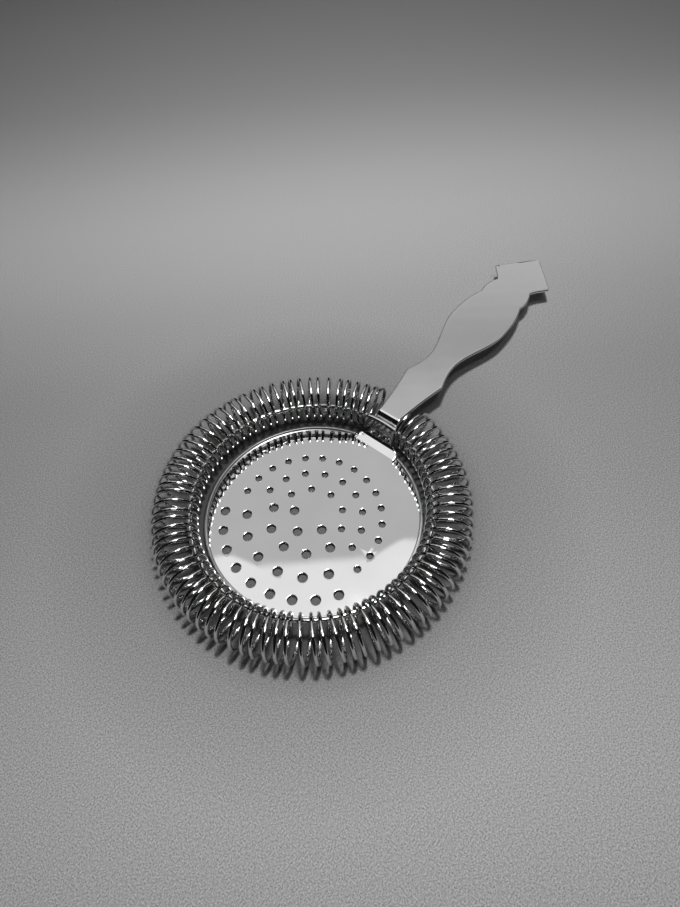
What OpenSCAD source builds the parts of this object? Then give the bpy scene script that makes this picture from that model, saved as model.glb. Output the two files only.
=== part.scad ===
// Hawthorne strainer for a cocktail shaker.
// One steel sheet is pressed into a very shallow perforated dish, bent up at the neck
// and drawn out into a flat shaped handle. A wire ring is welded across the neck and
// stands above the dish's rim. A long coil spring is threaded on that ring and
// floats on it, all the way round the dish.
// The origin is the centre of the dish's underside, where the strainer stands.
// +X runs along the handle and +Z is up. All sizes are in millimetres.

/* [Sheet] */
// Thickness of the steel sheet
sheet_t = 1; // [0.8:0.1:1]

/* [Dish] */
// Outside diameter of the dish
dish_d = 67.8; // [67:0.2:69]
// Height of the dish's rim above its underside
rim_h = 1.4; // [1.3:0.1:2.6]
// Outside radius of the pressed corner between the dish's floor and its low rim
corner_r = 1.3; // [1.1:0.1:1.3]

/* [Strainer holes] */
// Diameter of the small holes, on the handle's side
small_hole_d = 1.9; // [1.6:0.1:3]
// Diameter of the large holes, on the far side
large_hole_d = 2.7; // [2.4:0.1:3.8]
// Distance from the dish's centre to the hole pattern's centre, away from the handle
pattern_shift = 1.9; // [0:0.1:2.5]

/* [Neck] */
// Distance from the dish's centre to the start of the neck's first bend
neck_x = 30.55; // [30.2:0.05:30.9]
// Slope of the neck's root, a narrow flat strip that lifts gently out of the floor
root_angle = 13; // [10:1:16]
// Length of that strip along the neck
root_len = 2.2; // [1.5:0.1:2.4]
// Slope of the neck between its root and the handle
neck_angle = 62; // [56:1:64]
// Height of the handle's top face just after the second bend
neck_h = 10.3; // [9:0.1:11]
// Inside radius of the bends below and above the root strip
first_bend_r = 1.9; // [1:0.1:1.9]
// Inside radius of the bend into the handle
second_bend_r = 1.4; // [1:0.1:1.8]
// Width of the neck where it passes the spring
neck_w = 8.4; // [7:0.1:8.8]
// Width of the neck where it leaves the dish's floor
neck_root_w = 16.4; // [14:0.2:17]

/* [Handle] */
// Angle by which the handle falls towards its end
handle_drop = 2.3; // [0:0.1:3]
// Distance from the dish's centre to the handle's tip
handle_tip_x = 136.1; // [126:0.1:145]
// Width across the shoulder
shoulder_w = 14.2; // [11:0.1:16]
// Width at the waist
waist_w = 9.9; // [8:0.1:12]
// Width at the widest part of the grip
grip_w = 20.8; // [16:0.1:24]
// Width across the pointed end's two corners
point_w = 22.7; // [17:0.1:25]

/* [Carrier ring] */
// Diameter of the ring, measured to the middle of its wire
ring_d = 73.2; // [72.8:0.1:73.8]
// Diameter of the ring's wire
ring_wire_d = 1.5; // [1.2:0.1:1.5]

/* [Spring] */
// Outside diameter of the coil
coil_d = 14.4; // [14.2:0.1:15]
// Diameter of the spring's wire
coil_wire_d = 1.1; // [0.8:0.1:1.1]
// Diameter of the circle that the coil's middle follows
coil_path_d = 83; // [82.8:0.2:84]
// Number of turns
turns = 85; // [60:1:85]
// Angle between the first turn and the last, left open for the neck
gap_angle = 18; // [17:0.5:24]
// Space between the first two turns, as a share of the ordinary space
first_space = 0.5; // [0.4:0.1:1]
// Space between the last two turns, as a share of the ordinary space
last_space = 0.8; // [0.4:0.1:1]

/* [Hidden] */
$fn = 96;
dish_r = dish_d / 2;
coil_r = (coil_d - coil_wire_d) / 2;
coil_z = coil_d / 2;
coil_path_r = coil_path_d / 2;
ring_r = ring_d / 2;
ring_wire_r = ring_wire_d / 2;
eps = 0.01;

// Hole rings round the pattern's centre: [radius, number, step in degrees].
// The small ones are centred on the handle's direction, the large ones opposite.
small_rings = [[10.6, 5, 36], [16.5, 9, 22.2], [22.4, 15, 14.4]];
large_rings = [[5.5, 3, 84], [11.9, 5, 36], [19.4, 6, 22.9], [26.5, 9, 14.7]];

// Length of the straight slope that lifts the handle to its height
slope_len = (neck_h - sheet_t - (first_bend_r + sheet_t) * (1 - cos(neck_angle))
    - root_len * sin(root_angle) - second_bend_r * (cos(handle_drop) - cos(neck_angle))) / sin(neck_angle);
// Top face of the slope: where it starts, and its height at the ring
slope_x = neck_x + first_bend_r * sin(neck_angle) + root_len * cos(root_angle);
slope_z = sheet_t + first_bend_r * (1 - cos(neck_angle)) + root_len * sin(root_angle);
function slope_top(x) = slope_z + (x - slope_x) * tan(neck_angle);
// The ring lies on the slope, with a hair of air that the weld fills
weld_gap = 0.03;
ring_z = slope_top(ring_r) + (ring_wire_r + weld_gap) / cos(neck_angle);

// Half outline of the neck and handle, seen from above.
// Each station: [x, half width, slope of the edge before it, slope after it].
handle_len = handle_tip_x - neck_x;
function along(part) = neck_x + part * handle_len;
stations = [
    [neck_x,         neck_root_w / 2,     0,     -0.05],
    [along(0.0256),  neck_root_w * 0.464, -0.6,  -0.6],
    [along(0.0384),  neck_w * 0.57,       -1.1,  -1.1],
    [along(0.0472),  neck_w / 2 + 0.2,    -0.2,  -0.2],
    [along(0.0914),  neck_w / 2 - 0.1,    0,     0.1],
    [along(0.2693),  shoulder_w / 2,      0.22,  -0.35],
    [along(0.3639),  waist_w / 2,         0,     0],
    [along(0.5784),  grip_w / 2,          0.03,  0.03],
    [along(0.7336),  grip_w * 0.395,      -0.36, 0.3],
    [along(0.819),   grip_w * 0.342,      -0.42, 0.3],
    [along(0.8698),  point_w / 2 - 0.4,   0.8,   0.8],
    [along(0.8764),  point_w / 2,         0.1,   -0.1],
    [along(0.8831),  point_w / 2 - 0.4,   -0.8,  -0.8],
    [handle_tip_x,   0,                   -0.95, 0]
];
points_per_curve = 10;

// Smooth curve from one station to the next, at the fraction u of the way.
function curve_point(a, b, u) =
    let (h = b[0] - a[0])
    [a[0] + h * u,
        (2 * u * u * u - 3 * u * u + 1) * a[1] + (u * u * u - 2 * u * u + u) * h * a[3]
        + (3 * u * u - 2 * u * u * u) * b[1] + (u * u * u - u * u) * h * b[2]];

handle_edge = [
    for (s = [0 : len(stations) - 2])
        for (k = [0 : points_per_curve - 1])
            curve_point(stations[s], stations[s + 1], k / points_per_curve),
    [handle_tip_x, 0]
];

module handle_plan() {
    last = len(handle_edge) - 1;
    polygon(concat(handle_edge, [for (k = [last - 1 : -1 : 0]) [handle_edge[k][0], -handle_edge[k][1]]]));
}

// Pieces of the sheet's side view. Each one draws itself from the sheet's lower
// corner and carries its children on from where it ends.
module straight(length) {
    square([length, sheet_t]);
    translate([length - eps, 0])
        children();
}

module bend_sector(r, from, angle) {
    reach = 3 * (r + sheet_t);
    intersection() {
        difference() {
            circle(r + sheet_t);
            circle(r);
        }
        polygon([
            [0, 0],
            reach * [cos(from), sin(from)],
            reach * [cos(from + angle / 2), sin(from + angle / 2)],
            reach * [cos(from + angle), sin(from + angle)]
        ]);
    }
}

module bend_up(r, angle) {
    translate([0, sheet_t + r])
        bend_sector(r, -90, angle);
    translate([0, sheet_t + r])
        rotate(angle)
            translate([-eps, -r - sheet_t])
                children();
}

module bend_down(r, angle) {
    translate([0, -r])
        bend_sector(r, 90, -angle);
    translate([0, -r])
        rotate(-angle)
            translate([-eps, r])
                children();
}

module neck_and_handle_side() {
    lead_in = 3;
    translate([neck_x - lead_in, 0])
        straight(lead_in + eps)
            bend_up(first_bend_r, root_angle)
                straight(root_len + 2 * eps)
                    bend_up(first_bend_r, neck_angle - root_angle)
                        straight(slope_len + 2 * eps)
                            bend_down(second_bend_r, neck_angle + handle_drop)
                                straight(handle_len);
}

module neck_and_handle() {
    intersection() {
        translate([0, dish_r, 0])
            rotate([90, 0, 0])
                linear_extrude(dish_d)
                    neck_and_handle_side();
        translate([0, 0, -1])
            linear_extrude(neck_h + 3)
                union() {
                    handle_plan();
                    translate([neck_x - dish_r / 2, -neck_root_w / 2])
                        square([dish_r / 2 + eps, neck_root_w]);
                }
    }
}

// Dish with its floor, pressed corner and wall, open where the neck leaves it.
module dish_shell() {
    rotate_extrude($fn = 180)
        union() {
            square([dish_r - corner_r, sheet_t]);
            translate([dish_r - sheet_t, corner_r])
                square([sheet_t, rim_h - corner_r]);
            translate([dish_r - corner_r, corner_r])
                intersection() {
                    difference() {
                        circle(corner_r);
                        circle(corner_r - sheet_t);
                    }
                    translate([0, -corner_r])
                        square(corner_r);
                }
        }
}

module hole_ring(ring, hole_d, towards) {
    for (k = [0 : ring[1] - 1])
        rotate(towards + (k - (ring[1] - 1) / 2) * ring[2])
            translate([ring[0], 0, -1])
                cylinder(h = sheet_t + 2, d = hole_d, $fn = 48);
}

module strainer_body() {
    color([0.80, 0.80, 0.81])
        difference() {
            union() {
                difference() {
                    dish_shell();
                    translate([0, 0, -1])
                        linear_extrude(rim_h + 2)
                            intersection() {
                                handle_plan();
                                translate([neck_x, -dish_r])
                                    square([dish_r, dish_d]);
                            }
                }
                neck_and_handle();
            }
            translate([-pattern_shift, 0, 0]) {
                for (ring = small_rings)
                    hole_ring(ring, small_hole_d, 0);
                for (ring = large_rings)
                    hole_ring(ring, large_hole_d, 180);
            }
        }
}

module ring_wire(r) {
    translate([0, 0, ring_z])
        rotate_extrude($fn = 180)
            translate([ring_r, 0])
                circle(r, $fn = 48);
}

module carrier_ring() {
    color([0.74, 0.74, 0.75])
        ring_wire(ring_wire_r);
}

// Short bead that fills the corner between the ring and the slope, above the ring.
module ring_weld() {
    bead_w = 2.6;
    bead_r = 0.6;
    bead_from_ring = 0.95;
    color([0.68, 0.68, 0.69])
        difference() {
            translate([ring_r, bead_w / 2, slope_top(ring_r)])
                rotate([90, 0, 0])
                    rotate(neck_angle)
                        translate([bead_from_ring, 0])
                            cylinder(h = bead_w, r = bead_r, $fn = 32);
            ring_wire(ring_wire_r);
            translate([0, dish_r, 0])
                rotate([90, 0, 0])
                    linear_extrude(dish_d)
                        polygon([
                            [slope_x - 5, slope_top(slope_x - 5)],
                            [ring_r + 5, slope_top(ring_r + 5)],
                            [ring_r + 5, -5],
                            [slope_x - 5, -5]
                        ]);
        }
}

// The spring is a wire helix whose own axis is bent round into an open ring.
// t counts the turns from the first to the last.
wire_sides = 5;
steps_per_turn = 14;
last_turn = turns - 1;
spaces = last_turn - 2 + first_space + last_space;
function spaces_before(t) =
    t < 1 ? t * first_space
    : t < last_turn - 1 ? t - 1 + first_space
    : spaces - (last_turn - t) * last_space;
function path_angle(t) = gap_angle / 2 + spaces_before(t) * (360 - gap_angle) / spaces;
function turn_angle(t) = 90 - 360 * t;
function outward(t) = [cos(path_angle(t)), sin(path_angle(t)), 0];
function spoke(t) = outward(t) * cos(turn_angle(t)) + [0, 0, sin(turn_angle(t))];
function wire_middle(t) = outward(t) * coil_path_r + [0, 0, coil_z] + spoke(t) * coil_r;
function unit(v) = v / norm(v);

module coil_spring() {
    rings = last_turn * steps_per_turn;
    dt = 0.001;
    points = [
        for (i = [0 : rings])
            let (
                t = i / steps_per_turn,
                tangent = unit(wire_middle(t + dt) - wire_middle(t - dt)),
                side = unit(cross(tangent, spoke(t))),
                up = cross(side, tangent)
            )
            for (k = [0 : wire_sides - 1])
                wire_middle(t) + (up * cos(360 * k / wire_sides) + side * sin(360 * k / wire_sides))
                    * coil_wire_d / 2
    ];
    faces = concat(
        [[for (k = [0 : wire_sides - 1]) k]],
        [for (i = [0 : rings - 1])
            for (k = [0 : wire_sides - 1])
                let (a = i * wire_sides + k, b = i * wire_sides + (k + 1) % wire_sides)
                [a, a + wire_sides, b + wire_sides, b]],
        [[for (k = [wire_sides - 1 : -1 : 0]) rings * wire_sides + k]]
    );
    color([0.62, 0.62, 0.64])
        polyhedron(points, faces);
}

strainer_body();
carrier_ring();
ring_weld();
coil_spring();
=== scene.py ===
import math

import bmesh
import bpy
import numpy as np
from mathutils import Matrix, Vector
from mathutils.geometry import delaunay_2d_cdt


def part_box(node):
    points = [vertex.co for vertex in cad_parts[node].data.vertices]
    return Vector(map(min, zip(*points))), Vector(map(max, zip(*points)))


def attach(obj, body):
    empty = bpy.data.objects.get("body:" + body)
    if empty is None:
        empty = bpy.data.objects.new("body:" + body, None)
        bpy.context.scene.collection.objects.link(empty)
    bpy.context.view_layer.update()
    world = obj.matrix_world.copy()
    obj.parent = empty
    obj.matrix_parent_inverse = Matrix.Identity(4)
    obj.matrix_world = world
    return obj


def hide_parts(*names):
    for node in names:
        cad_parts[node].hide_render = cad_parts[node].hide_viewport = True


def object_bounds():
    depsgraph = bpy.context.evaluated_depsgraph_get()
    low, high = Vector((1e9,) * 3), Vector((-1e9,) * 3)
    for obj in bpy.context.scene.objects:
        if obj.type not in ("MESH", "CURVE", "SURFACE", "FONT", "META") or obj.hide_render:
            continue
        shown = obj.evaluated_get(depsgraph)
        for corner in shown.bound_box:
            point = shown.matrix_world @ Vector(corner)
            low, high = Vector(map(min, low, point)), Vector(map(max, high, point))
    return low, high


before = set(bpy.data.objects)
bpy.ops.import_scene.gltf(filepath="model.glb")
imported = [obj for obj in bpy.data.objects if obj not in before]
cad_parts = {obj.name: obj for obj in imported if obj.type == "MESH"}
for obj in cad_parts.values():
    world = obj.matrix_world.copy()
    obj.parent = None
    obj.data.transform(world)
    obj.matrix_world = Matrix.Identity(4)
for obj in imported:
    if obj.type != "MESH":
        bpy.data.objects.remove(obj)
cad_bounds = [list(corner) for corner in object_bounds()]

MM = 0.001
scene = bpy.context.scene


def rad(degrees):
    return math.radians(degrees)


def box_mm(node):
    low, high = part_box(node)
    return [c / MM for c in low], [c / MM for c in high]


# ---------------------------------------------------------------- sizes, from the CAD's boxes
body_lo, body_hi = box_mm("strainer_body")
ring_lo, ring_hi = box_mm("carrier_ring")
coil_lo, coil_hi = box_mm("coil_spring")

SHEET_T = 1.0
DISH_R = body_hi[1]
RIM_H = 1.4
CORNER_R = 1.3
TIP_X = body_hi[0]
NECK_X = 30.55
NECK_H = body_hi[2]
NECK_ANGLE = 62.0
ROOT_ANGLE = 13.0
ROOT_LEN = 2.2
FIRST_BEND_R = 1.9
SECOND_BEND_R = 1.4
EDGE_R = 0.42      # rounding of the sheet's cut edges
EDGE_FALL = 3.0    # slope of the floor near the rim, in degrees
FALL_START = 23.5  # the floor is flat inside this radius
FALL_FULL = 29.0   # and has its full slope from this one
DROP = 2.3
NECK_W = 8.4
ROOT_W = 16.4
RING_WIRE_R = (ring_hi[2] - ring_lo[2]) / 2
RING_R = ring_hi[1] - RING_WIRE_R
RING_Z = (ring_hi[2] + ring_lo[2]) / 2
COIL_D = coil_hi[2] - coil_lo[2]
WIRE_R = 0.55      # the spring's wire
COIL_R = COIL_D / 2 - WIRE_R
COIL_Z = (coil_hi[2] + coil_lo[2]) / 2
COIL_PATH_R = coil_hi[1] - COIL_D / 2
SMALL_HOLE_R = 0.95
LARGE_HOLE_R = 1.35
PATTERN_SHIFT = 1.9
AROUND = 288       # columns in a full circle of the dish and of the ring

# ---------------------------------------------------------------- mesh helpers
def add_mesh(name, bm, material, body):
    """Turns a bmesh in millimetres into a piece that rides on a CAD body."""
    bmesh.ops.remove_doubles(bm, verts=bm.verts, dist=1e-4)
    bmesh.ops.recalc_face_normals(bm, faces=bm.faces)
    for face in bm.faces:
        face.smooth = True
    bmesh.ops.scale(bm, vec=(MM, MM, MM), verts=bm.verts)
    mesh = bpy.data.meshes.new(name)
    bm.to_mesh(mesh)
    bm.free()
    mesh.materials.append(material)
    obj = bpy.data.objects.new(name, mesh)
    scene.collection.objects.link(obj)
    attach(obj, body)
    return obj


def grid_faces(bm, rows, close_rows=False, close_columns=False):
    """Quads between rows of vertices, all of one length."""
    faces = []
    n, m = len(rows), len(rows[0])
    for i in range(n if close_rows else n - 1):
        for k in range(m if close_columns else m - 1):
            a, b = rows[i], rows[(i + 1) % n]
            quad = [a[k], a[(k + 1) % m], b[(k + 1) % m], b[k]]
            faces.append(bm.faces.new(quad))
    return faces


def soften(obj):
    """Keeps flat faces flat in the shading and lets the rounded edges carry the turn."""
    bm = bmesh.new()
    bm.from_mesh(obj.data)
    floor_mark = bm.faces.layers.int["floor"]
    for edge in bm.edges:
        if len(edge.link_faces) == 2:
            one, other = edge.link_faces
            if one[floor_mark] != other[floor_mark]:
                edge.smooth = one.normal.angle(other.normal) < rad(3)
    bm.to_mesh(obj.data)
    bm.free()
    w = obj.modifiers.new("face_normals", "WEIGHTED_NORMAL")
    w.mode = "FACE_AREA"
    w.weight = 50
    w.keep_sharp = True


# ---------------------------------------------------------------- materials
def nodes_of(material):
    material.use_nodes = True
    tree = material.node_tree
    tree.nodes.clear()
    out = tree.nodes.new("ShaderNodeOutputMaterial")
    bsdf = tree.nodes.new("ShaderNodeBsdfPrincipled")
    tree.links.new(bsdf.outputs["BSDF"], out.inputs["Surface"])
    return tree, bsdf


NOISE_LOW, NOISE_HIGH = 0.3, 0.7  # nearly all of a noise pattern's values lie between these


def noise(tree, scale, detail):
    """A noise pattern in the object's own metres."""
    where = tree.nodes.new("ShaderNodeTexCoord")
    tex = tree.nodes.new("ShaderNodeTexNoise")
    tex.inputs["Scale"].default_value = scale
    tex.inputs["Detail"].default_value = detail
    tree.links.new(where.outputs["Object"], tex.inputs["Vector"])
    return tex.outputs["Fac"]


def remap(tree, value, low, high, from_low=NOISE_LOW, from_high=NOISE_HIGH):
    node = tree.nodes.new("ShaderNodeMapRange")
    node.inputs["From Min"].default_value = from_low
    node.inputs["From Max"].default_value = from_high
    node.inputs["To Min"].default_value = low
    node.inputs["To Max"].default_value = high
    tree.links.new(value, node.inputs["Value"])
    return node.outputs["Result"]


def grey(tree, value, low, high):
    ramp = tree.nodes.new("ShaderNodeValToRGB")
    ramp.color_ramp.elements[0].position = NOISE_LOW
    ramp.color_ramp.elements[1].position = NOISE_HIGH
    ramp.color_ramp.elements[0].color = (low, low, low, 1)
    ramp.color_ramp.elements[1].color = (high, high, high, 1)
    tree.links.new(value, ramp.inputs["Fac"])
    return ramp.outputs["Color"]


def bump(tree, bsdf, height, depth):
    """Raises and sinks the surface by up to depth, in metres."""
    node = tree.nodes.new("ShaderNodeBump")
    node.inputs["Strength"].default_value = 1.0
    node.inputs["Distance"].default_value = depth
    tree.links.new(height, node.inputs["Height"])
    tree.links.new(node.outputs["Normal"], bsdf.inputs["Normal"])


def steel(name, low, high, rough_low, rough_high, wave):
    """Bare metal with smudges in its grey, uneven roughness and slow waves, wave metres deep."""
    material = bpy.data.materials.new(name)
    tree, bsdf = nodes_of(material)
    bsdf.inputs["Metallic"].default_value = 1.0
    smudge = noise(tree, 60.0, 5.0)
    rub = noise(tree, 180.0, 6.0)
    tree.links.new(grey(tree, smudge, low, high), bsdf.inputs["Base Color"])
    tree.links.new(remap(tree, rub, rough_low, rough_high), bsdf.inputs["Roughness"])
    bump(tree, bsdf, noise(tree, 45.0, 1.0), wave)
    return material


sheet_steel = steel("polished_sheet", 0.70, 0.75, 0.035, 0.06, wave=0.000012)
ring_steel = steel("ring_wire", 0.66, 0.74, 0.05, 0.09, wave=0.000004)
spring_steel = steel("spring_wire", 0.66, 0.74, 0.05, 0.08, wave=0.000004)
# The holes' walls are rougher where punched, and painted near black as the shade inside the holes.
punched_and_shaded_steel = steel("punched_edge_painted_shade", 0.03, 0.08, 0.35, 0.55, wave=0.00004)
# The low rim is rougher than the polished face and painted dark as the shade on it.
rim_shaded_steel = steel("rim_painted_shade", 0.22, 0.32, 0.25, 0.4, wave=0.00002)
weld_steel = steel("weld_metal", 0.42, 0.58, 0.28, 0.45, wave=0.0001)


# ---------------------------------------------------------------- the handle's outline
LENGTH = TIP_X - NECK_X


def along(part):
    return NECK_X + part * LENGTH


# Points of the outline: (x, half width, slope on arriving, slope on leaving).
STATIONS = [
    (NECK_X, ROOT_W / 2, 0.0, -0.05),
    (along(0.0256), ROOT_W * 0.464, -0.6, -0.6),
    (along(0.0384), NECK_W * 0.57, -1.1, -1.1),
    (along(0.0472), NECK_W / 2 + 0.2, -0.2, -0.2),
    (along(0.0914), NECK_W / 2 - 0.1, 0.0, 0.1),
    (along(0.2693), 7.1, 0.22, -0.35),
    (along(0.3639), 4.95, 0.0, 0.0),
    (along(0.5784), 10.4, 0.03, 0.03),
    (along(0.7336), 8.216, -0.36, 0.3),
    (along(0.819), 7.114, -0.42, 0.3),
    (along(0.8698), 10.95, 0.8, 0.8),
    (along(0.8764), 11.35, 0.1, -0.1),
    (along(0.8831), 10.95, -0.8, -0.8),
    (TIP_X, 0.0, -0.95, 0.0),
]


def half_width(x):
    """Half the sheet's width at x, on the neck and the handle."""
    if x <= NECK_X:
        return ROOT_W / 2
    if x >= TIP_X:
        return 0.0
    stretches = zip(STATIONS, STATIONS[1:])
    (x0, y0, _, s0), (x1, y1, s1, _) = next(pair for pair in stretches if x <= pair[1][0])
    h = x1 - x0
    u = (x - x0) / h
    return (
        (2 * u**3 - 3 * u**2 + 1) * y0
        + (u**3 - 2 * u**2 + u) * h * s0
        + (3 * u**2 - 2 * u**3) * y1
        + (u**3 - u**2) * h * s1
    )


# ---------------------------------------------------------------- neck and handle
HANDLE_STEPS = 150
TIP_ROWS = (0.25, 0.08, 0.0)  # distances of the last rows from the tip


def top_face_path():
    """Points of the sheet's top face from the dish to the tip: (x, z, slope angle)."""
    low, steep = rad(ROOT_ANGLE), rad(NECK_ANGLE)
    slope = (
        NECK_H
        - SHEET_T
        - (FIRST_BEND_R + SHEET_T) * (1 - math.cos(steep))
        - ROOT_LEN * math.sin(low)
        - SECOND_BEND_R * (math.cos(rad(DROP)) - math.cos(steep))
    ) / math.sin(steep)
    path = [(NECK_X, SHEET_T, 0.0)]

    def straight(length, angle, steps):
        x, z, _ = path[-1]
        for k in range(1, steps + 1):
            reach = length * k / steps
            path.append((x + reach * math.cos(angle), z + reach * math.sin(angle), angle))

    def bend(radius, start, end, steps):
        """Turns the top face; the radius is positive where the face is hollow."""
        x, z, _ = path[-1]
        cx, cz = x - radius * math.sin(start), z + radius * math.cos(start)
        for k in range(1, steps + 1):
            b = start + (end - start) * k / steps
            path.append((cx + radius * math.sin(b), cz - radius * math.cos(b), b))

    bend(FIRST_BEND_R, 0.0, low, 8)
    straight(ROOT_LEN, low, 6)
    bend(FIRST_BEND_R, low, steep, 18)
    straight(slope, steep, 10)
    bend(-(SECOND_BEND_R + SHEET_T), steep, -rad(DROP), 20)
    x0, z0, b = path[-1]
    corners = {round(station[0], 4) for station in STATIONS}
    even = {x0 + (TIP_X - x0) * k / HANDLE_STEPS for k in range(1, HANDLE_STEPS)}
    for x in sorted(corners | even):
        if x0 + 0.05 < x < TIP_X - TIP_ROWS[0]:
            path.append((x, z0 + (x - x0) * math.tan(b), b))
    for left in TIP_ROWS:
        path.append((TIP_X - left, z0 + (TIP_X - left - x0) * math.tan(b), b))
    return path


def smooth_step(u):
    u = min(max(u, 0.0), 1.0)
    return u * u * (3 - 2 * u)


def dip(x, y):
    """How far the floor has sunk at a point. It falls gently before the rim, except near the neck."""
    level = 14  # degrees to each side of the neck where the floor stays level, and then eases in
    slope = math.tan(rad(EDGE_FALL))
    r = math.hypot(x, y)
    if r <= FALL_START:
        return 0.0
    away_from_neck = smooth_step((abs(math.degrees(math.atan2(y, x))) - level) / level)
    if r <= FALL_FULL:
        return away_from_neck * slope * (r - FALL_START) ** 2 / (2 * (FALL_FULL - FALL_START))
    return away_from_neck * slope * (r - (FALL_START + FALL_FULL) / 2)


def strip_section():
    """Round the sheet's edge: (share of the width, inset from the edge, depth under the top face)."""
    e, steps, columns = EDGE_R, 5, 16
    right = []
    for k in range(steps + 1):
        a = rad(90 * k / steps)
        right.append((1, e - e * math.sin(a), e - e * math.cos(a)))
    for k in range(steps + 1):
        a = rad(90 * k / steps)
        right.append((1, e - e * math.cos(a), SHEET_T - e + e * math.sin(a)))
    top = [(-1 + 2 * k / columns, None, 0.0) for k in range(1, columns)]
    bottom = [(1 - 2 * k / columns, None, SHEET_T) for k in range(1, columns)]
    left = [(-1, inset, depth) for _, inset, depth in reversed(right)]
    return top + right + bottom + left


def neck_and_handle(bm):
    section = strip_section()
    near_tip, least_half_width = 0.3, 0.04
    rows = []
    for x, z, a in top_face_path():
        row = []
        for share, inset, depth in section:
            px, pz = x + depth * math.sin(a), z - depth * math.cos(a)
            w = half_width(min(px, TIP_X)) if x < TIP_X - near_tip else half_width(x)
            w = max(w, least_half_width)
            if inset is None:
                y = share * max(w - EDGE_R, w * 0.5)
            else:
                y = share * (w - min(inset, w * 0.5))
            row.append(bm.verts.new((px, y, max(pz, 0.0))))
        rows.append(row)
    grid_faces(bm, rows, close_columns=True)
    bm.faces.new(rows[-1])


# ---------------------------------------------------------------- dish
RISE_POINTS, CREST_POINTS, CORNER_STEPS = 9, 9, 12
FLARE, FLARE_DEPTH, FLARE_POINTS = 0.38, 0.24, 11
BOTTOM_EDGE_R, BOTTOM_EDGE_POINTS = 0.05, 4
# Both of these materials carry painted shade.
PUNCHED_SHADE_SLOT, RIM_SHADE_SLOT = 1, 2  # places of these materials on the sheet, after the polished one


def rim_profile():
    """From the floor's top, over the low rim and round the pressed corner to the underside."""
    inner = DISH_R - CORNER_R
    rise, top, round_over = 0.3, 0.2, 0.3
    pts = []
    for k in range(RISE_POINTS):
        u = k / (RISE_POINTS - 1)
        pts.append((inner + rise * u, SHEET_T + (RIM_H - SHEET_T) * smooth_step(u)))
    start = math.asin((CORNER_R - RIM_H + round_over) / CORNER_R)
    outer = inner + CORNER_R * math.cos(start)
    crest = inner + rise + top
    for k in range(CREST_POINTS):
        a = rad(90 * k / (CREST_POINTS - 1))
        pts.append((crest + (outer - crest) * math.sin(a), RIM_H - round_over * (1 - math.cos(a))))
    for k in range(1, CORNER_STEPS + 1):
        a = start + (math.pi / 2 - start) * k / CORNER_STEPS
        pts.append((inner + CORNER_R * math.cos(a), CORNER_R - CORNER_R * math.sin(a)))
    return pts


def neck_side_angle(r):
    """Where a circle of radius r round the dish's centre meets the neck's edge, in degrees."""
    at_start = math.acos(NECK_X / r)
    if r * math.sin(at_start) <= ROOT_W / 2:
        return math.degrees(at_start)
    low, high = 0.0, at_start
    for _ in range(50):
        mid = (low + high) / 2
        if r * math.sin(mid) > half_width(r * math.cos(mid)):
            high = mid
        else:
            low = mid
    return math.degrees(high)


def hole_list():
    """Centre and radius of every strainer hole, from rings of (radius, count, step in degrees)."""
    holes = []
    small = [(10.6, 5, 36.0), (16.5, 9, 22.2), (22.4, 15, 14.4)]
    large = [(5.5, 3, 84.0), (11.9, 5, 36.0), (19.4, 6, 22.9), (26.5, 9, 14.7)]
    for rings, hole_r, towards in ((small, SMALL_HOLE_R, 0.0), (large, LARGE_HOLE_R, 180.0)):
        for r, count, step in rings:
            for k in range(count):
                a = rad(towards + (k - (count - 1) / 2) * step)
                holes.append((r * math.cos(a) - PATTERN_SHIFT, r * math.sin(a), hole_r))
    return holes


def ring_points(holes, clear):
    """Points on circles round the dish's centre that let the floor's edge curve, clear of the holes."""
    circles, spacing, count, from_neck = 15, 0.5, 150, 0.25
    points = []
    for i in range(circles):
        r = FALL_START + spacing * i
        for k in range(count):
            a = 2 * math.pi * (k + 0.5 * (i % 2)) / count
            x, y = r * math.cos(a), r * math.sin(a)
            free = all(math.hypot(x - cx, y - cy) > hr + clear for cx, cy, hr in holes)
            if x < NECK_X - from_neck and free:
                points.append((x, y))
    return points


def floor_face(bm, outline, loops, holes, extra, height):
    """A face inside the outline, with the holes' loops cut out of it, at height(x, y)."""
    points = [Vector(p) for p in outline]
    n = len(points)
    edges = [(k, (k + 1) % n) for k in range(n)]
    for loop in loops:
        first = len(points)
        points += [Vector(p) for p in loop]
        m = len(loop)
        edges += [(first + k, first + (k + 1) % m) for k in range(m)]
    points += [Vector(p) for p in extra]
    out_points, _, tris, *_ = delaunay_2d_cdt(points, edges, [], 1, 1e-7)
    verts = [bm.verts.new((p.x, p.y, height(p.x, p.y))) for p in out_points]
    floor_mark = bm.faces.layers.int["floor"]
    for tri in tris:
        mid = sum((out_points[i] for i in tri), Vector((0, 0))) / 3
        if any(math.hypot(mid.x - cx, mid.y - cy) < hr * 0.995 for cx, cy, hr in holes):
            continue
        if inside(outline, mid):
            bm.faces.new([verts[i] for i in tri])[floor_mark] = 1


def inside(outline, p):
    hit = False
    for (x0, y0), (x1, y1) in zip(outline, outline[1:] + outline[:1]):
        if (y0 > p[1]) != (y1 > p[1]) and p[0] < (x1 - x0) * (p[1] - y0) / (y1 - y0) + x0:
            hit = not hit
    return hit


def sunk(x, y, z):
    """A height in the sheet, lowered by the floor's fall."""
    return z * (1 - dip(x, y) / SHEET_T)


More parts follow.
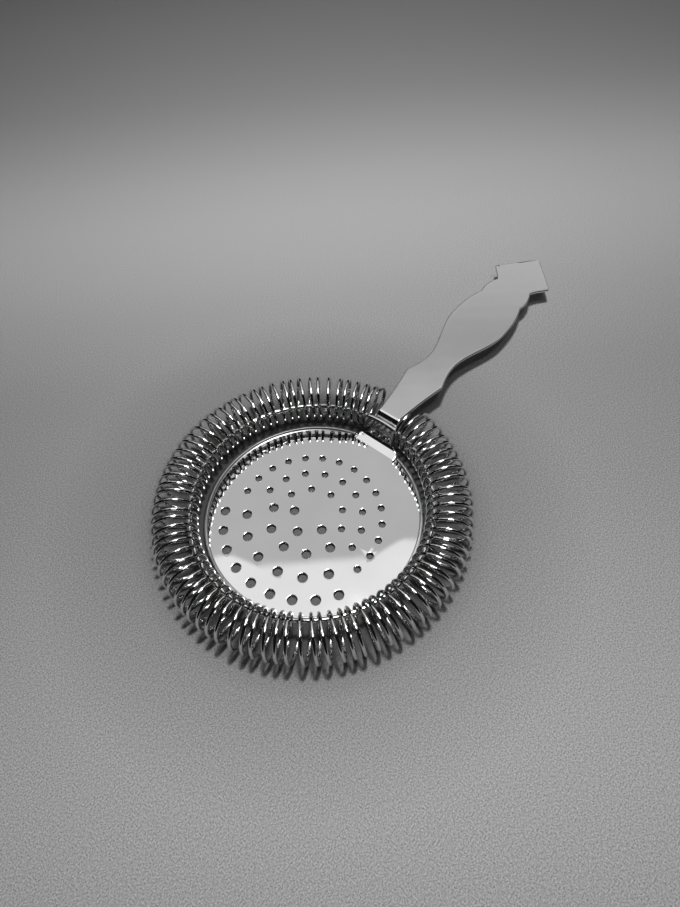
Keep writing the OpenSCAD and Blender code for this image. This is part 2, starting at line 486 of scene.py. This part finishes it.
def rim_and_corner(bm):
    """The ring of sheet outside the floor. Returns the floor's outer edge."""
    outside = 0.5  # the floor's fall stops this far inside the dish's outer radius
    rows = []
    for r, z in rim_profile():
        start = neck_side_angle(r)
        share = 0
        if z >= SHEET_T and r < DISH_R - outside:
            share = 1 - smooth_step((z - SHEET_T) / (RIM_H - SHEET_T))
        row = []
        for k in range(AROUND + 1):
            a = rad(start + (360 - 2 * start) * k / AROUND)
            x, y = r * math.cos(a), r * math.sin(a)
            row.append(bm.verts.new((x, y, z - share * dip(x, y))))
        rows.append(row)
    # The rim's rise and crest are painted dark as shade.
    shaded_row_count = RISE_POINTS + CREST_POINTS
    for face in grid_faces(bm, rows[:shaded_row_count]):
        face.material_index = RIM_SHADE_SLOT
    grid_faces(bm, rows[shaded_row_count - 1:])
    for k in (0, AROUND):
        bm.faces.new([row[k] for row in rows])
    return [(v.co.x, v.co.y) for v in rows[0]]


def hole_profile(r):
    """Down a hole's wall, from the flared top edge to the rounded bottom edge: (radius, height)."""
    profile = []
    for k in range(FLARE_POINTS):
        a = rad(90 * k / (FLARE_POINTS - 1))
        profile.append((r + FLARE * (1 - math.sin(a)), SHEET_T - FLARE_DEPTH * (1 - math.cos(a))))
    for k in range(BOTTOM_EDGE_POINTS):
        a = rad(90 * k / (BOTTOM_EDGE_POINTS - 1))
        profile.append((r + BOTTOM_EDGE_R - BOTTOM_EDGE_R * math.cos(a), BOTTOM_EDGE_R * (1 - math.sin(a))))
    return profile


def hole_walls(bm):
    """Every hole's wall. Returns the top and bottom circles as loops and as (x, y, radius)."""
    segments = 44
    angles = [2 * math.pi * k / segments for k in range(segments)]
    tops, bottoms, wide, narrow = [], [], [], []
    for cx, cy, r in hole_list():
        profile = hole_profile(r)
        circles = [[(cx + pr * math.cos(a), cy + pr * math.sin(a)) for a in angles] for pr, _ in profile]
        rows = []
        for circle, (_, pz) in zip(circles, profile):
            rows.append([bm.verts.new((x, y, sunk(x, y, pz))) for x, y in circle])
        grid_faces(bm, rows[:FLARE_POINTS], close_columns=True)
        # The lower walls take the punched edge's material, painted near black as shade.
        for face in grid_faces(bm, rows[FLARE_POINTS - 1:], close_columns=True):
            face.material_index = PUNCHED_SHADE_SLOT
        tops.append(circles[0])
        bottoms.append(circles[-1])
        wide.append((cx, cy, r + FLARE))
        narrow.append((cx, cy, profile[-1][0]))
    return tops, bottoms, wide, narrow


def dish(bm):
    edge = rim_and_corner(bm)
    top_shares = [share for share, inset, depth in strip_section() if inset is None and depth == 0.0]
    start_line = [(NECK_X, share * (ROOT_W / 2 - EDGE_R)) for share in top_shares]
    start_line = [p for p in start_line if abs(p[1]) < edge[0][1] - 0.01]
    outline = edge + start_line
    tops, bottoms, wide, narrow = hole_walls(bm)
    floor_face(bm, outline, tops, wide, ring_points(wide, 0.2), lambda x, y: sunk(x, y, SHEET_T))
    floor_face(bm, outline, bottoms, narrow, [], lambda x, y: 0.0)


bm = bmesh.new()
bm.faces.layers.int.new("floor")
dish(bm)
neck_and_handle(bm)
body = add_mesh("strainer_sheet", bm, sheet_steel, "strainer")
body.data.materials.append(punched_and_shaded_steel)
body.data.materials.append(rim_shaded_steel)
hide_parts("strainer_body")
soften(body)


# ---------------------------------------------------------------- carrier ring
def ring(bm):
    rows = []
    sides = 24
    for i in range(AROUND):
        a = 2 * math.pi * i / AROUND
        row = []
        for k in range(sides):
            b = 2 * math.pi * k / sides
            r = RING_R + RING_WIRE_R * math.cos(b)
            row.append(bm.verts.new((r * math.cos(a), r * math.sin(a), RING_Z + RING_WIRE_R * math.sin(b))))
        rows.append(row)
    grid_faces(bm, rows, close_rows=True, close_columns=True)


bm = bmesh.new()
ring(bm)
hoop = add_mesh("carrier_hoop", bm, ring_steel, "strainer")
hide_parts("carrier_ring")


# ---------------------------------------------------------------- spring
LAST_TURN = 84     # the spring has 85 turns, counted from 0
FIRST_SPACE, LAST_SPACE = 0.5, 0.8
SPACES = LAST_TURN - 2 + FIRST_SPACE + LAST_SPACE
GAP = 18.0         # degrees left open for the neck


def spaces_before(t):
    """Ordinary spaces between the first turn and turn t. The end turns sit closer together."""
    if t < 1:
        return t * FIRST_SPACE
    if t < LAST_TURN - 1:
        return t - 1 + FIRST_SPACE
    return SPACES - (LAST_TURN - t) * LAST_SPACE


def coil(bm):
    """The wire, along a helix bent round the dish. Slow waves make its turns a little uneven."""
    steps, sides = 44, 14
    count = LAST_TURN * steps + 1
    t = np.arange(count) / steps
    uneven = 0.10 * np.sin(2.1 * t) + 0.07 * np.sin(0.83 * t + 1.0) + 0.05 * np.sin(5.3 * t + 2.0)
    uneven *= np.minimum(1, np.minimum(t, LAST_TURN - t) / 3)
    around = np.radians(GAP / 2 + (np.array([spaces_before(v) for v in t]) + uneven) * (360 - GAP) / SPACES)
    turn = np.radians(90 - 360 * t)
    outward = np.stack([np.cos(around), np.sin(around), np.zeros(count)], 1)
    spoke = outward * np.cos(turn)[:, None]
    spoke[:, 2] += np.sin(turn)
    middle = outward * COIL_PATH_R + spoke * COIL_R
    middle[:, 2] += COIL_Z
    tangent = np.gradient(middle, axis=0)
    tangent /= np.linalg.norm(tangent, axis=1)[:, None]
    side = np.cross(tangent, spoke)
    side /= np.linalg.norm(side, axis=1)[:, None]
    up = np.cross(side, tangent)
    rows = []
    for i in range(count):
        rows.append([
            bm.verts.new(middle[i] + WIRE_R * (up[i] * math.cos(b) + side[i] * math.sin(b)))
            for b in (2 * math.pi * k / sides for k in range(sides))
        ])
    grid_faces(bm, rows, close_columns=True)
    bm.faces.new(rows[0])
    bm.faces.new(rows[-1])


bm = bmesh.new()
coil(bm)
spring = add_mesh("coil_wire", bm, spring_steel, "spring")
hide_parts("coil_spring")

# ---------------------------------------------------------------- the weld keeps its CAD shape
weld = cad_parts["ring_weld"]
weld.data.materials.clear()
weld.data.materials.append(weld_steel)


# ---------------------------------------------------------------- floor
TURN = rad(-47.55)  # from the CAD's axes to the viewer's: x to the right and y away
TABLE_HALF = 3.0
TABLE_GAP = 0.00002


def share_by_distance(tree, value, stops, smooth=False, scale=1.0):
    """A painted share of light and shade that changes with a distance: stops are (metres, share)."""
    first, last = stops[0][0], stops[-1][0]
    ramp = tree.nodes.new("ShaderNodeValToRGB")
    ramp.color_ramp.interpolation = "CARDINAL" if smooth else "LINEAR"
    peak = max(share for _, share in stops)
    while len(ramp.color_ramp.elements) < len(stops):
        ramp.color_ramp.elements.new(0.5)
    for element, (place, share) in zip(ramp.color_ramp.elements, stops):
        element.position = (place - first) / (last - first)
        element.color = (share / peak, share / peak, share / peak, 1)
    tree.links.new(remap(tree, value, 0.0, 1.0, first, last), ramp.inputs["Fac"])
    times = tree.nodes.new("ShaderNodeMath")
    times.operation = "MULTIPLY"
    times.inputs[1].default_value = peak * scale
    tree.links.new(ramp.outputs["Color"], times.inputs[0])
    return times.outputs["Value"]


def table_material():
    """Matt grey with painted light and shade: lighter and darker with distance and from side to side,
    painted shade under the dish and the spring, and a painted darker halo round them.
    """
    material = bpy.data.materials.new("table_grey_painted_light_and_shade")
    tree, bsdf = nodes_of(material)
    where = tree.nodes.new("ShaderNodeTexCoord")
    turned = tree.nodes.new("ShaderNodeVectorRotate")
    turned.rotation_type = "Z_AXIS"
    turned.inputs["Angle"].default_value = -TURN
    tree.links.new(where.outputs["Object"], turned.inputs["Vector"])
    split = tree.nodes.new("ShaderNodeSeparateXYZ")
    tree.links.new(turned.outputs["Vector"], split.inputs["Vector"])
    # Painted light: the table is painted lighter and darker with the distance from the viewer.
    far = [
        (-0.14, 1.05), (-0.092, 1.24), (-0.05, 1.11), (-0.01, 0.94), (0.03, 0.865), (0.065, 0.94),
        (0.105, 1.26), (0.15, 1.58), (0.19, 1.50), (0.235, 1.27), (0.28, 1.19), (0.34, 1.22),
    ]
    painted_light_by_depth = share_by_distance(tree, split.outputs["Y"], far, smooth=True, scale=0.5)
    # Painted light: the table is painted a little lighter to the left than to the right.
    painted_light_by_side = share_by_distance(tree, split.outputs["X"], [(-0.14, 1.07), (0.14, 0.95)])
    middle = tree.nodes.new("ShaderNodeVectorMath")
    middle.operation = "LENGTH"
    tree.links.new(where.outputs["Object"], middle.inputs[0])
    # Painted shade round the dish's centre: dim under the dish, darkest under the spring, and a wide darker
    # halo round it.
    rings = [
        (0.0, 0.36), (0.031, 0.30), (0.034, 0.12), (0.044, 0.14),
        (0.05, 0.60), (0.056, 0.76), (0.085, 1.0),
    ]
    painted_shade_under_object = share_by_distance(tree, middle.outputs["Value"], rings)
    grain = noise(tree, 2500.0, 2.0)
    product = remap(tree, grain, 0.33, 1.13, 0.25, 0.75)
    for factor in (painted_light_by_depth, painted_light_by_side, painted_shade_under_object):
        times = tree.nodes.new("ShaderNodeMath")
        times.operation = "MULTIPLY"
        tree.links.new(product, times.inputs[0])
        tree.links.new(factor, times.inputs[1])
        product = times.outputs["Value"]
    tree.links.new(product, bsdf.inputs["Base Color"])
    bsdf.inputs["Roughness"].default_value = 0.75
    bump(tree, bsdf, grain, 0.00003)
    return material


bm = bmesh.new()
bmesh.ops.create_grid(bm, x_segments=1, y_segments=1, size=TABLE_HALF)
floor_mesh = bpy.data.meshes.new("floor")
bm.to_mesh(floor_mesh)
bm.free()
floor_mesh.materials.append(table_material())
floor = bpy.data.objects.new("floor", floor_mesh)
floor.location = (0, 0, cad_bounds[0][2] - TABLE_GAP)
scene.collection.objects.link(floor)

# ---------------------------------------------------------------- camera
SENSOR = 36.0
FOCAL_SHARE = 680.0 / 907.0  # focal length over the longer side of the picture
ROLL = rad(-4.59)
target = Vector((0.02314, 0.00797, 0.0))
eye = Vector((-0.06912, -0.07642, 0.18438))
camera_data = bpy.data.cameras.new("camera")
camera_data.sensor_fit = "AUTO"
camera_data.sensor_width = SENSOR
camera_data.lens = SENSOR * FOCAL_SHARE
camera_data.clip_start = 0.01
camera_data.clip_end = 20.0
camera = bpy.data.objects.new("camera", camera_data)
scene.collection.objects.link(camera)
look = (target - eye).to_track_quat("-Z", "Y").to_matrix()
camera.matrix_world = Matrix.Translation(eye) @ (look @ Matrix.Rotation(ROLL, 3, "Z")).to_4x4()
scene.camera = camera


# ---------------------------------------------------------------- light
# Lamps are placed in the viewer's frame over the dish's centre.
LAMP_Z, HALO_Z, PANEL_Z = 0.375, 0.3755, 0.376


def lamp(name, x, y, height, shape, width, depth, radiance):
    """An area light that faces straight down. Its power gives it that radiance."""
    data = bpy.data.lights.new(name, "AREA")
    data.shape = shape
    data.size = width
    area = math.pi * (width / 2) ** 2
    if shape == "RECTANGLE":
        data.size_y = depth
        area = width * depth
    data.energy = radiance * math.pi * area
    obj = bpy.data.objects.new(name, data)
    obj.location = Matrix.Rotation(TURN, 3, "Z") @ Vector((x, y, height))
    obj.rotation_euler = (0, 0, TURN)
    scene.collection.objects.link(obj)
    return obj


lamp("key", 0.036, 0.038, LAMP_Z, "DISK", 0.045, 0, 205.0)
lamp("second", 0.10, -0.05, LAMP_Z, "DISK", 0.045, 0, 27.0)

# These show in the polished steel, but give the table no light of their own.
MIRRORED = [
    lamp("halo", 0.036, -0.03, HALO_Z, "DISK", 0.15, 0, 8.0),
    lamp("glow", 0.0, 0.098, PANEL_Z, "RECTANGLE", 0.36, 0.12, 1.02),
]

# Beyond the glow the ceiling is dimmer, with a soft step, and dips at the middle distance.
STEPS_FROM, STEP = 0.158, 0.0012
for k in range(5):
    y = STEPS_FROM + STEP * (k + 0.5)
    MIRRORED.append(lamp("step_%d" % k, 0.0, y, PANEL_Z, "RECTANGLE", 0.6, STEP, 0.95 - 0.07 * k))
CEILING_FROM, STRIP = 0.164, 0.02
for k in range(25):
    y = CEILING_FROM + STRIP * (k + 0.5)
    radiance = 0.57 - 0.14 * math.exp(-(((y - 0.45) / 0.07) ** 2))
    MIRRORED.append(lamp("ceiling_%d" % k, 0.05, y, PANEL_Z, "RECTANGLE", 0.9, STRIP, radiance))
for obj in MIRRORED:
    obj.visible_diffuse = False

world = bpy.data.worlds.new("studio")
scene.world = world
world.use_nodes = True
background = world.node_tree.nodes["Background"]
background.inputs["Color"].default_value = (0.008, 0.008, 0.008, 1)
background.inputs["Strength"].default_value = 1.0
scene.view_settings.view_transform = "Standard"
scene.view_settings.look = "None"
